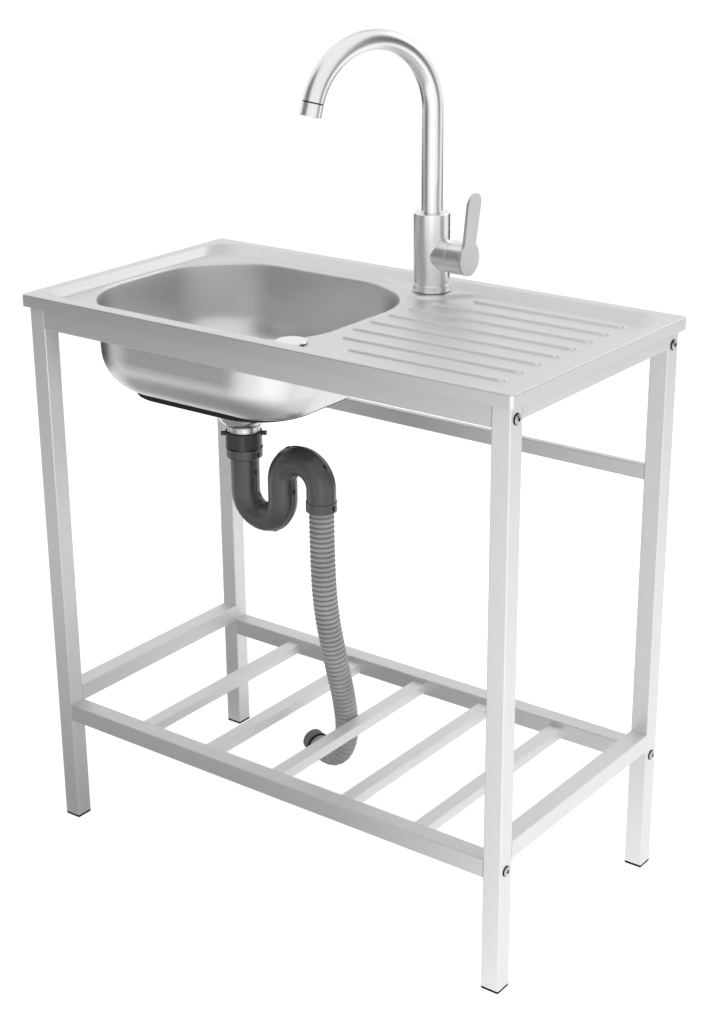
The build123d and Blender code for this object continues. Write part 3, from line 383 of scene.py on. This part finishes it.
def tint(material, colour, mask):
    # this colour where the mask is 1
    tree, surface = material.node_tree, surfaceOf(material)
    before = surface.inputs["Base Color"].links[0].from_socket
    mixed = addNode(tree, "ShaderNodeMix", {colourB: toLinear(colour)}, {0: mask, colourA: before},
                    data_type="RGBA")
    tree.links.new(mixed.outputs[colourOut], surface.inputs["Base Color"])


bowlShadeAndGloss = {                    # the bowl is a little clearer than the deck, and a little darker as painted shade in its recess
    "top": 0.7585,              # metres above the floor, the deck's edge at the bowl
    "bottom": 0.750,
    "smoother": 0.10,
    "tone": "#DADADA",
}


def shadeAndSmoothBowl(material, settings):
    tree, surface = material.node_tree, surfaceOf(material)
    parts = addNode(tree, "ShaderNodeSeparateXYZ", links={0: objectPlace(material)})
    drop = {"From Min": settings["top"], "From Max": settings["bottom"]}
    bowlShadeMask = addNode(tree, "ShaderNodeMapRange", drop, {"Value": parts.outputs["Z"]})
    # painted shade: the bowl's darker tone below the deck's edge
    tint(material, settings["tone"], bowlShadeMask.outputs[0])
    less = addNode(tree, "ShaderNodeMapRange", {**drop, "To Max": settings["smoother"]},
                   {"Value": parts.outputs["Z"]}, interpolation_type="SMOOTHSTEP")
    before = surface.inputs["Roughness"].links[0].from_socket
    rough = addNode(tree, "ShaderNodeMath", links={0: before, 1: less.outputs[0]},
                    operation="SUBTRACT")
    tree.links.new(rough.outputs[0], surface.inputs["Roughness"])


paintedBoltShade = {                    # painted shade: a bolt's socket and the rim of its head at the leg are painted black
    "headTop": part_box("frame_bolts")[1][0],
    "headHeight": 0.0032,
    "shadeHeight": 0.0015,       # metres of the head, from the leg outwards, painted black as shade
    "black": "#141414",
}


def paintBoltShade(material, settings):
    tree = material.node_tree
    parts = addNode(tree, "ShaderNodeSeparateXYZ", links={0: objectPlace(material)})
    outwards = addNode(tree, "ShaderNodeMath", links={0: parts.outputs["X"]}, operation="ABSOLUTE")
    limit = settings["headTop"] - settings["headHeight"] + settings["shadeHeight"]
    shadedRim = addNode(tree, "ShaderNodeMath", {1: limit}, {0: outwards.outputs[0]},
                  operation="LESS_THAN")
    # painted shade in the socket and where the head meets the leg
    tint(material, settings["black"], shadedRim.outputs[0])


grooveShade = {                      # painted shade: the dark line in the groove between the spout's end and its aerator
    "point": (-0.0282, -0.0229, 1.0301),        # the middle of the spout's end
    "heading": (-0.0885, -0.2432, -0.9659),     # the way that the water leaves
    "width": 0.0018,            # metres, a little past the CAD's groove of 1.6 mm
    "grey": "#3A3A3A",
}


def paintGrooveShade(material, settings):
    grooveShaded = material.copy()
    grooveShaded.name = "grooveShadedStainless"
    tree = grooveShaded.node_tree
    fromTip = addNode(tree, "ShaderNodeVectorMath", {1: settings["point"]},
                      {0: objectPlace(grooveShaded)}, operation="SUBTRACT")
    out = addNode(tree, "ShaderNodeVectorMath", {1: settings["heading"]},
                  {0: fromTip.outputs[0]}, operation="DOT_PRODUCT")
    inGrooveShade = addNode(tree, "ShaderNodeMath", {1: settings["width"]}, {0: out.outputs["Value"]},
                   operation="LESS_THAN")
    # painted shade along the groove at the spout's end
    tint(grooveShaded, settings["grey"], inGrooveShade.outputs[0])
    return grooveShaded


trapTabs = {                    # the small tabs along the trap's seam are darker in the photo
    "seam": -0.009,             # Y of the seam, in metres as all of these are
    "outerReach": 0.0545,       # from the middle of a bend to the top of a tab on its outer side
    "onBends": [                # degrees, and X and Z of the bend's middle
        (115, -0.069, 0.5192),
        (40, -0.069, 0.5192),
        (-70, -0.135, 0.4922),
    ],
    "onSides": [                # X and Z: two on the pipes and two on the collars
        (-0.1465, 0.5204),
        (-0.0805, 0.5057),
        (-0.0135, 0.4967),
        (-0.1415, 0.5462),
    ],
    "darkRadius": 0.0042,
    "black": "#1E1E1E",
}


def darkenTabs(material, settings):
    tree = material.node_tree
    spots = list(settings["onSides"])
    for degrees, x, z in settings["onBends"]:
        angle = math.radians(degrees)
        out = settings["outerReach"]
        spots.append((x + out * math.cos(angle), z + out * math.sin(angle)))
    nearest = None
    for x, z in spots:
        apart = addNode(tree, "ShaderNodeVectorMath", {1: (x, settings["seam"], z)},
                        {0: objectPlace(material)}, operation="DISTANCE").outputs["Value"]
        if nearest:
            apart = addNode(tree, "ShaderNodeMath", links={0: nearest, 1: apart},
                            operation="MINIMUM").outputs[0]
        nearest = apart
    onTab = addNode(tree, "ShaderNodeMath", {1: settings["darkRadius"]}, {0: nearest},
                    operation="LESS_THAN")
    tint(material, settings["black"], onTab.outputs[0])


paintedRibShade = {                    # painted shade: the valleys between the hose's ribs are painted darker
    "valley": "#B0B0B0",        # painted shade in the valleys, which multiplies the hose's own colour
    "crest": "#FFFFFF",
    "darkAt": 0.95,             # the wave is 1 in a valley and -1 on a crest
    "paleAt": -0.3,
    "fadeShare": 0.7,           # how pale the valleys are where the ribs have grown shallow
}


def paintRibShade(material, settings, hoseSettings, spacing):
    ribShaded = material.copy()
    ribShaded.name = "ribShadedPolyethylene"
    tree, surface = ribShaded.node_tree, surfaceOf(ribShaded)
    around = addNode(tree, "ShaderNodeUVMap", uv_map="around")
    parts = addNode(tree, "ShaderNodeSeparateXYZ", links={0: around.outputs[0]})
    turns = addNode(tree, "ShaderNodeMath", {1: 2 * math.pi / spacing}, {0: parts.outputs["Y"]},
                    operation="MULTIPLY")
    wave = addNode(tree, "ShaderNodeMath", links={0: turns.outputs[0]}, operation="COSINE")
    rise = {"From Min": settings["darkAt"], "From Max": settings["paleAt"]}
    crest = addNode(tree, "ShaderNodeMapRange", rise, {"Value": wave.outputs[0]},
                    interpolation_type="SMOOTHSTEP")
    fade = {"From Min": hoseSettings["fadeFrom"], "From Max": hoseSettings["fadeTo"],
            "To Max": settings["fadeShare"]}
    down = addNode(tree, "ShaderNodeMapRange", fade, {"Value": parts.outputs["Y"]})
    level = addNode(tree, "ShaderNodeMath", links={0: crest.outputs[0], 1: down.outputs[0]},
                    operation="MAXIMUM")
    ends = {colourA: toLinear(settings["valley"]), colourB: toLinear(settings["crest"])}
    tone = addNode(tree, "ShaderNodeMix", ends, {0: level.outputs[0]}, data_type="RGBA")
    before = surface.inputs["Base Color"].links[0].from_socket
    # painted shade: the wave darkens the hose's colour in its valleys
    shaded = addNode(tree, "ShaderNodeMix", {0: 1.0},
                     {colourA: before, colourB: tone.outputs[colourOut]},
                     data_type="RGBA", blend_type="MULTIPLY")
    tree.links.new(shaded.outputs[colourOut], surface.inputs["Base Color"])
    return ribShaded


shadeAndSmoothBowl(finish["pressedStainless"], bowlShadeAndGloss)
paintBoltShade(finish["zincSteel"], paintedBoltShade)
darkenTabs(finish["trapPolypropylene"], trapTabs)
finish["grooveShadedStainless"] = paintGrooveShade(finish["turnedStainless"], grooveShade)

finishOfSlot = {
    "sink_steel": "pressedStainless",
    # the frame's tubes along X take the darker copy, with its painted shade
    "frame_tube": "shadedDrawnTubeX",
    "tap_steel": "turnedStainless",
    "lever_steel": "blastedStainless",
    "waste_steel": "polishedStainless",
    "chrome_disc": "chromePlate",
    "bolt_steel": "zincSteel",
    "brass": "machinedBrass",
    "black_rubber": "blackRubber",
    "black_plastic": "footPolyethylene",
    "white_plastic": "whiteAcetal",
    "nut_plastic": "nutNylon",
    "trap_plastic": "trapPolypropylene",
    "hose_plastic": "hosePolyethylene",
    "connector_rubber": "connectorRubber",
}
slots = {entry["node"]: entry["material_slot"] for entry in frame["record"]["subparts"]}
for name, piece in nodes.items():
    chosen = finishOfSlot[slots[name]]
    if name.startswith("leg_"):
        chosen = "drawnTubeZ"
    elif name.startswith("slat_") or name.endswith(("side_rail_left", "side_rail_right")):
        chosen = "drawnTubeY"
    elif name == "aerator_housing":
        chosen = "grooveShadedStainless"
    piece.data.materials.clear()
    piece.data.materials.append(finish[chosen])
ribShadedPlastic = paintRibShade(finish["hosePolyethylene"], paintedRibShade, hose, ribSpacing)
ribbedHose.data.materials.append(ribShadedPlastic)
print("materials done")

room = {
    "floorSize": 30.0,
    "floorPaint": "#BEBEBE",
    "floorGlow": 0.72,          # what the camera and the metal see, over the paint's own light
    "skyForMatt": 0.62,         # the world's level for diffuse light
    "skySeen": 1.0,             # the world's level for the camera, metal and glass: white
}


def startNodes(owner):
    owner.use_nodes = True
    owner.node_tree.nodes.clear()
    return owner.node_tree


def seenDirectly(tree):
    rays = addNode(tree, "ShaderNodeLightPath")
    seen = rays.outputs["Is Camera Ray"]
    for kind in ("Is Glossy Ray", "Is Transmission Ray"):
        seen = addNode(tree, "ShaderNodeMath", links={0: seen, 1: rays.outputs[kind]},
                       operation="MAXIMUM").outputs[0]
    return seen


def makeFloor(settings):
    bpy.ops.object.select_all(action="DESELECT")
    bpy.ops.mesh.primitive_plane_add(size=settings["floorSize"], location=(0, 0, 0))
    floor = bpy.context.object
    floor.name = "floor"
    paint = bpy.data.materials.new("paleFloor")
    tree = startNodes(paint)
    matt = addNode(tree, "ShaderNodeBsdfDiffuse", {"Color": toLinear(settings["floorPaint"])})
    # the glow makes up what the lamps leave short of white, so a shadow stays a little darker
    glow = addNode(tree, "ShaderNodeEmission", {"Color": white, "Strength": settings["floorGlow"]})
    shown = addNode(tree, "ShaderNodeAddShader", links={0: matt.outputs[0], 1: glow.outputs[0]})
    choice = addNode(tree, "ShaderNodeMixShader",
                     links={0: seenDirectly(tree), 1: matt.outputs[0], 2: shown.outputs[0]})
    addNode(tree, "ShaderNodeOutputMaterial", links={"Surface": choice.outputs[0]})
    floor.data.materials.append(paint)


def makeWorld(settings):
    world = bpy.data.worlds.new("studio")
    bpy.context.scene.world = world
    tree = startNodes(world)
    soft, seen = [addNode(tree, "ShaderNodeBackground", {"Color": white, "Strength": level})
                  for level in (settings["skyForMatt"], settings["skySeen"])]
    choice = addNode(tree, "ShaderNodeMixShader",
                     links={0: seenDirectly(tree), 1: soft.outputs[0], 2: seen.outputs[0]})
    addNode(tree, "ShaderNodeOutputWorld", links={"Surface": choice.outputs[0]})


makeFloor(room)
makeWorld(room)

# grey cards, which the camera, shadows and matt surfaces don't see and the metal mirrors as the
# soft dark bands of the photo; places and sizes in metres, turns in degrees
cards = {
    "frontLeft": {"place": (-0.77, -0.985, 1.3), "turn": (90, 0, -38), "size": (2.0, 3.4),
                  "tone": "#828282"},
    "right": {"place": (1.21, 0.49, 1.4), "turn": (90, 0, 112), "size": (1.1, 2.4),
              "tone": "#606060"},
    "low": {"place": (-0.45, -0.30, 0.003), "turn": (0, 0, 0), "size": (1.8, 1.5),
            "tone": "#969696"},
    "left": {"place": (-1.35, 0.24, 0.46), "turn": (90, 0, 90), "size": (2.0, 0.9),
             "tone": "#303030"},
    "behind": {"place": (0.21, 1.50, 0.46), "turn": (90, 0, 0), "size": (1.3, 0.9),
               "tone": "#303030"},
    "aboveBehind": {"place": (-0.56, 0.92, 2.30), "turn": (38, 0, 37), "size": (1.5, 1.1),
                    "tone": "#484848"},
}
cardFade = {"from": 0.22, "to": 0.5}    # shares of a card's size, from its middle to its edge


def makeCard(name, settings):
    bpy.ops.object.select_all(action="DESELECT")
    bpy.ops.mesh.primitive_plane_add(size=1)
    card = bpy.context.object
    card.name = "card_" + name
    bpy.ops.transform.resize(value=(*settings["size"], 1))
    card.location = settings["place"]
    card.rotation_euler = [math.radians(angle) for angle in settings["turn"]]
    card.visible_camera = False
    card.visible_shadow = False
    card.visible_diffuse = False
    grey = bpy.data.materials.new("greyCard_" + name)
    tree = startNodes(grey)
    place = addNode(tree, "ShaderNodeTexCoord")
    reach = addNode(tree, "ShaderNodeVectorMath", links={0: place.outputs["Object"]},
                    operation="LENGTH")
    fade = addNode(tree, "ShaderNodeMapRange",
                   {"From Min": cardFade["from"], "From Max": cardFade["to"]},
                   {"Value": reach.outputs["Value"]}, interpolation_type="SMOOTHSTEP")
    shine = addNode(tree, "ShaderNodeEmission",
                    {"Color": toLinear(settings["tone"]), "Strength": 1.0})
    clear = addNode(tree, "ShaderNodeBsdfTransparent")
    choice = addNode(tree, "ShaderNodeMixShader",
                     links={0: fade.outputs[0], 1: shine.outputs[0], 2: clear.outputs[0]})
    addNode(tree, "ShaderNodeOutputMaterial", links={"Surface": choice.outputs[0]})
    card.data.materials.append(grey)


for name, settings in cards.items():
    makeCard(name, settings)

# soft lamps: place, aim and size in metres, power in watts, and whether the metal mirrors them
lamps = {
    "above": {"place": (0.3, -0.4, 3.2), "aim": (0, 0, 0.7), "size": 2.2, "power": 36,
              "inMetal": False},
    "right": {"place": (3.0, -0.9, 1.9), "aim": (0, 0, 0.6), "size": 3.0, "power": 22,
              "inMetal": False},
    "front": {"place": (0.93, -1.07, 0.45), "aim": (0.03, 0.13, 0.95), "size": 0.9, "power": 1.8,
              "inMetal": True},
    "back": {"place": (1.15, 2.40, 2.60), "aim": (0, 0, 0.76), "size": 1.4, "power": 7,
             "inMetal": True},
}


def addLamp(name, settings):
    data = bpy.data.lights.new(name, "AREA")
    data.size = settings["size"]
    data.energy = settings["power"]
    lamp = bpy.data.objects.new(name, data)
    bpy.context.scene.collection.objects.link(lamp)
    lamp.location = settings["place"]
    aim = Vector(settings["aim"]) - Vector(settings["place"])
    lamp.rotation_euler = aim.to_track_quat("-Z", "Y").to_euler()
    lamp.visible_glossy = settings["inMetal"]
    lamp.visible_camera = False


for name, settings in lamps.items():
    addLamp(name, settings)
bpy.context.scene.view_settings.view_transform = "Standard"
print("room done")
